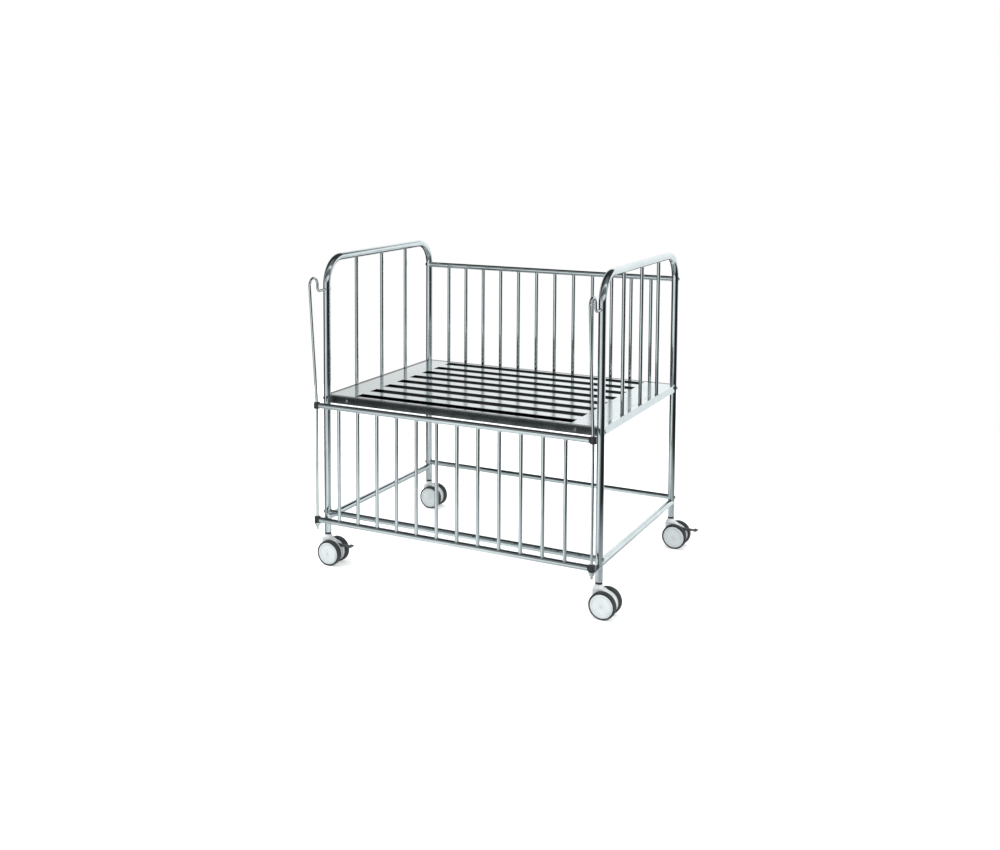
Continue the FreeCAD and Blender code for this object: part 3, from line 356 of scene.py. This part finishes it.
def end_frame_welds():
    """Welds of the ends' bars, the low ties and the rear rail."""
    shape = bmesh.new()
    for end, inward in (("head", (1, 0, 0)), ("foot", (-1, 0, 0))):
        low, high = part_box(end + "_end_hoop")
        x = (low.x + high.x) / 2
        front, rear = low.y + LEG_R, high.y - LEG_R
        places, radius = bar_places(end + "_end_bars", END_BARS, 1)
        for bar_x, bar_y in places:
            weld(shape, (bar_x, bar_y, DECK_TOP), UP, ALONG_Y, radius, None)
            weld(shape, (bar_x, bar_y, high.z - LEG_R), DOWN, ALONG_Y, radius, LEG_R)
        for side, y, way in (("front", front, (0, 1, 0)), ("rear", rear, (0, -1, 0))):
            cross_z = middle(end + "_low_tie").z
            long_z = middle(side + "_low_tie").z
            weld(shape, (x, y, cross_z), way, UP, CROSS_TIE_R, LEG_R)
            weld(shape, (x, y, long_z), inward, UP, LONG_TIE_R, LEG_R)
        weld(shape, (x, rear, middle("rear_rail_top").z), inward, UP, RAIL_R, LEG_R)
    piece(shape, "end_frame_welds", STEEL, "frame")


# Small parts


def leg_centres():
    """Leg axes from the end hoops: two x places and two y places."""
    low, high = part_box("head_end_hoop")
    foot_low, foot_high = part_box("foot_end_hoop")
    return ((low.x + high.x) / 2, (foot_low.x + foot_high.x) / 2), (low.y + LEG_R, high.y - LEG_R)


def wheel_trim():
    """Bevelled ring and centre cap on the outer face of each wheel."""
    ring = [(0.0335, 0.0), (0.0342, 0.0009), (0.0352, 0.0013), (0.0385, 0.0013),
            (0.0398, 0.0006), (0.0402, -0.0006), (0.0335, -0.0006)]
    ring_sunk = 0.0012
    cap = [(0.0004, 0.0014), (0.0062, 0.0013), (0.0074, 0.0008), (0.0078, -0.0006),
           (0.0004, -0.0006)]
    for name in [n for n in NODES if n.endswith("_wheel")]:
        low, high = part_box(name)
        centre = (low + high) / 2
        outward = -1 if "_front_wheel" in name else 1
        face = low.y if outward < 0 else high.y
        shape = bmesh.new()
        ring_seat = (centre.x, face - outward * ring_sunk, centre.z)
        lathe(shape, ring, ring_seat, (0, outward, 0), steps=64)
        lathe(shape, cap, (centre.x, face, centre.z), (0, outward, 0), steps=32)
        piece(shape, name.replace("_wheel", "_trim"), TRIM, name)


def guide_ribs():
    """Two moulded ribs round each guide's eye."""
    rib = [(0.0118, -0.0011), (0.0124, -0.0010), (0.0128, -0.0005), (0.0128, 0.0005),
           (0.0124, 0.0010), (0.0118, 0.0011)]
    from_middle = 0.0085
    for level, body in (("bottom", "rail_slider"), ("top", "drop_rail")):
        seat = middle("rail_%s_guides" % level)
        shape = bmesh.new()
        for x in leg_centres()[0]:
            for rise in (-from_middle, from_middle):
                lathe(shape, rib, (x, seat.y, seat.z + rise), UP, steps=56)
        piece(shape, "guide_ribs_" + level, BLACK, body)


def hexagon(shape, radius, seat, way):
    """Dark bevelled hexagon, a painted shadow that stands for the shaded socket in a screw's head.
    """
    bevel = 0.0002
    proud, sunk = 0.0002, -0.0003
    inner_r = 0.0001
    profile = [(inner_r, proud), (radius, proud), (radius + bevel, sunk), (inner_r, sunk)]
    lathe(shape, profile, seat, way, steps=6)


def bolt_socket_shadows():
    """Painted shadows of the hexagon sockets in the heads of the frame bolts and the deck beam
    screws.
    """
    bolt_head, screw_head = 0.005, 0.004
    bolt_socket_r, screw_socket_r = 0.0018, 0.0024
    screw_pitch = 0.960
    shape = bmesh.new()
    places_x, (front, rear) = leg_centres()
    bolted = ((front, "front_low_tie"), (front, "front_deck_beam"), (rear, "rear_low_tie"),
              (rear, "rear_deck_beam"), (rear, "rear_rail_top"))
    for x, out in zip(places_x, (-1, 1)):
        for y, name in bolted:
            seat = (x + out * (LEG_R + bolt_head), y, middle(name).z)
            hexagon(shape, bolt_socket_r, seat, (out, 0, 0))
    for name, way in (("front_deck_beam", -1), ("rear_deck_beam", 1)):
        low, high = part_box(name)
        centre = (low + high) / 2
        face = (low.y if way < 0 else high.y) + way * screw_head
        for out in (-1, 1):
            seat = (centre.x + out * screw_pitch / 2, face, centre.z)
            hexagon(shape, screw_socket_r, seat, (0, way, 0))
    piece(shape, "bolt_socket_shadows", PAINTED_SOCKET_SHADOW, "frame")


def pedal_ribs():
    """Grip ribs across the tread of each brake pedal, bars with bevelled ends."""
    radius = 0.0009
    bevel, tip = radius * 0.4, radius * 0.02
    side_margin = 0.002
    from_toe = (0.0028, 0.0060, 0.0092, 0.0124)
    for name in [n for n in NODES if n.endswith("_pedal")]:
        low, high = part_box(name)
        length = high.y - low.y - 2 * side_margin
        rib = [(tip, 0), (radius - bevel, 0), (radius, bevel), (radius, length - bevel),
               (radius - bevel, length), (tip, length)]
        shape = bmesh.new()
        for back in from_toe:
            lathe(shape, rib, (high.x - back, low.y + side_margin, high.z), ALONG_Y, steps=24)
        piece(shape, name.replace("_pedal", "_pedal_ribs"), PEDAL, name)


# Studio: white for the camera, bright and dark sides for reflections

STUDIO_TURN = math.radians(-28)
MIRRORED_STRENGTH = 1.25
WALL_SHADES = [
    (0.0, 0.02), (0.27, 0.02), (0.31, 0.60), (0.36, 0.95), (0.45, 0.80), (0.49, 0.30),
    (0.53, 0.02), (0.76, 0.015), (0.80, 0.85), (0.92, 0.85), (0.95, 0.02), (1.0, 0.02)]
ROOF_SHADES = [
    (0.0, 0.95), (0.17, 0.95), (0.21, 0.04), (0.45, 0.03), (0.56, 0.16), (0.67, 0.22),
    (0.69, 0.85), (0.73, 0.85), (0.75, 0.20), (0.87, 0.16), (0.91, 0.75), (1.0, 0.80)]
ROOF_SIDES = [(0.42, 0.55), (0.5, 0.82), (0.57, 1.0)]


def studio_ways(tree, direction):
    """Parts of a direction along the studio's own axes; its front lies before the bed."""
    turned = node(tree, "ShaderNodeVectorRotate", rotation_type="Z_AXIS", Vector=direction,
                  Angle=STUDIO_TURN)
    return parts(tree, turned.outputs[0])


def walls(tree, direction):
    """Studio walls by compass, once round from the back over the left, front and right."""
    ways = studio_ways(tree, direction)
    behind = maths(tree, "MULTIPLY", ways["Y"], -1.0)
    compass = maths(tree, "ARCTAN2", ways["X"], behind)
    share = maths(tree, "ADD", maths(tree, "MULTIPLY", compass, 0.5 / math.pi), 0.5)
    return ramp(tree, share, WALL_SHADES)


def arch(tree, direction):
    """Studio roof from the low backdrop over the top to the front."""
    ways = studio_ways(tree, direction)
    rise = maths(tree, "ARCTAN2", ways["Z"], ways["Y"])
    roof = ramp(tree, maths(tree, "MULTIPLY", rise, 1 / math.pi), ROOF_SHADES)
    sides = ramp(tree, maths(tree, "MULTIPLY_ADD", ways["X"], 0.5, 0.5), ROOF_SIDES)
    return mixed(tree, 1.0, roof, sides, "MULTIPLY")


def make_world():
    white = (1, 1, 1, 1)
    lighting_strength, seen_strength = 0.85, 1.0
    world = bpy.data.worlds.new("studio")
    bpy.context.scene.world = world
    world.use_nodes = True
    tree = world.node_tree
    tree.nodes.clear()
    direction = node(tree, "ShaderNodeTexCoord").outputs["Generated"]
    height = ramp(tree, parts(tree, direction)["Z"], [(0.0, 0.0), (0.07, 1.0)])
    studio = mixed(tree, height, walls(tree, direction), arch(tree, direction))
    mirrored = node(tree, "ShaderNodeBackground", Color=studio, Strength=MIRRORED_STRENGTH)
    soft = node(tree, "ShaderNodeBackground", Color=white, Strength=lighting_strength)
    plain = node(tree, "ShaderNodeBackground", Color=white, Strength=seen_strength)
    path = node(tree, "ShaderNodeLightPath").outputs
    lit = switched(tree, path["Is Glossy Ray"], soft.outputs[0], mirrored.outputs[0])
    chosen = switched(tree, path["Is Camera Ray"], lit, plain.outputs[0])
    node(tree, "ShaderNodeOutputWorld", Surface=chosen)


def floor_surface():
    """Pale matt floor, lifted to white for the camera.

    In reflections it is pale near the bed and shows the studio's walls further out."""
    pale, mirrored_pale = (0.86, 0.87, 0.87, 1), (0.78, 0.80, 0.80, 1)
    lift = 0.35
    reach = 4.0
    surface = bpy.data.materials.new("floor_white")
    surface.use_nodes = True
    tree = surface.node_tree
    matt = tree.nodes["Principled BSDF"]
    matt.inputs["Base Color"].default_value = pale
    matt.inputs["Roughness"].default_value = 0.8
    matt.inputs["Specular IOR Level"].default_value = 0.1
    path = node(tree, "ShaderNodeLightPath").outputs
    only_seen = maths(tree, "MULTIPLY", path["Is Camera Ray"], lift)
    lifted = node(tree, "ShaderNodeEmission", Color=(1, 1, 1, 1), Strength=only_seen)
    shown = tree.nodes.new("ShaderNodeAddShader")
    tree.links.new(matt.outputs[0], shown.inputs[0])
    tree.links.new(lifted.outputs[0], shown.inputs[1])
    spot = node(tree, "ShaderNodeNewGeometry").outputs["Position"]
    way = node(tree, "ShaderNodeVectorMath", operation="NORMALIZE")
    tree.links.new(spot, way.inputs[0])
    away = node(tree, "ShaderNodeVectorMath", operation="LENGTH")
    tree.links.new(spot, away.inputs[0])
    share = maths(tree, "MULTIPLY", away.outputs["Value"], 1 / reach)
    near = ramp(tree, share, [(0.22, 0.62), (0.50, 0.0)])
    studio = mixed(tree, near, walls(tree, way.outputs[0]), mirrored_pale)
    mirrored = node(tree, "ShaderNodeEmission", Color=studio, Strength=MIRRORED_STRENGTH)
    chosen = switched(tree, path["Is Glossy Ray"], shown.outputs[0], mirrored.outputs[0])
    tree.links.new(chosen, tree.nodes["Material Output"].inputs["Surface"])
    return surface


def make_floor():
    shape = bmesh.new()
    bmesh.ops.create_circle(shape, cap_ends=True, radius=3.6, segments=96)
    mesh = bpy.data.meshes.new("floor")
    shape.to_mesh(mesh)
    shape.free()
    mesh.materials.append(floor_surface())
    floor = bpy.data.objects.new("floor", mesh)
    bpy.context.scene.collection.objects.link(floor)


def softbox(name, place, size, power):
    """Area light aimed at the middle of the bed."""
    bed_middle = Vector((0, 0, 0.6))
    data = bpy.data.lights.new(name, "AREA")
    data.shape = "RECTANGLE"
    data.size, data.size_y = size
    data.energy = power
    lamp = bpy.data.objects.new(name, data)
    bpy.context.scene.collection.objects.link(lamp)
    lamp.visible_glossy = False
    lamp.location = place
    lamp.rotation_euler = (bed_middle - Vector(place)).to_track_quat("-Z", "Y").to_euler()


def make_camera():
    """Camera at the photograph's place."""
    place = (2.01538, -4.40547, 1.71915)
    azimuth, elevation, roll = -0.492617, 0.083442, 0.001779
    ahead = Vector((math.sin(azimuth) * math.cos(elevation), math.cos(azimuth) * math.cos(elevation),
                    -math.sin(elevation)))
    level = Vector((math.cos(azimuth), -math.sin(azimuth), 0))
    above = level.cross(ahead)
    right = level * math.cos(roll) + above * math.sin(roll)
    up = above * math.cos(roll) - level * math.sin(roll)
    lens = bpy.data.cameras.new("camera")
    lens.sensor_width = 36
    lens.lens = 43.985
    lens.shift_x = 0.06674
    lens.shift_y = -0.18986
    lens.clip_end = 200
    camera = bpy.data.objects.new("camera", lens)
    bpy.context.scene.collection.objects.link(camera)
    turn = Matrix((right, up, -ahead)).transposed().to_4x4()
    camera.matrix_world = Matrix.Translation(place) @ turn
    bpy.context.scene.camera = camera


paint_deck_shade()
dress_nodes()
rear_rail_welds()
front_rail_welds()
guide_ribs()
bolt_socket_shadows()
pedal_ribs()
end_frame_welds()
wheel_trim()
make_world()
make_floor()
softbox("key", (-2.6, -3.2, 4.2), (2.4, 2.4), 150)
softbox("fill", (3.6, -2.4, 2.6), (1.6, 2.8), 70)
softbox("top", (0.0, 0.4, 5.0), (3.0, 3.0), 120)
make_camera()
bpy.context.scene.view_settings.view_transform = "Standard"
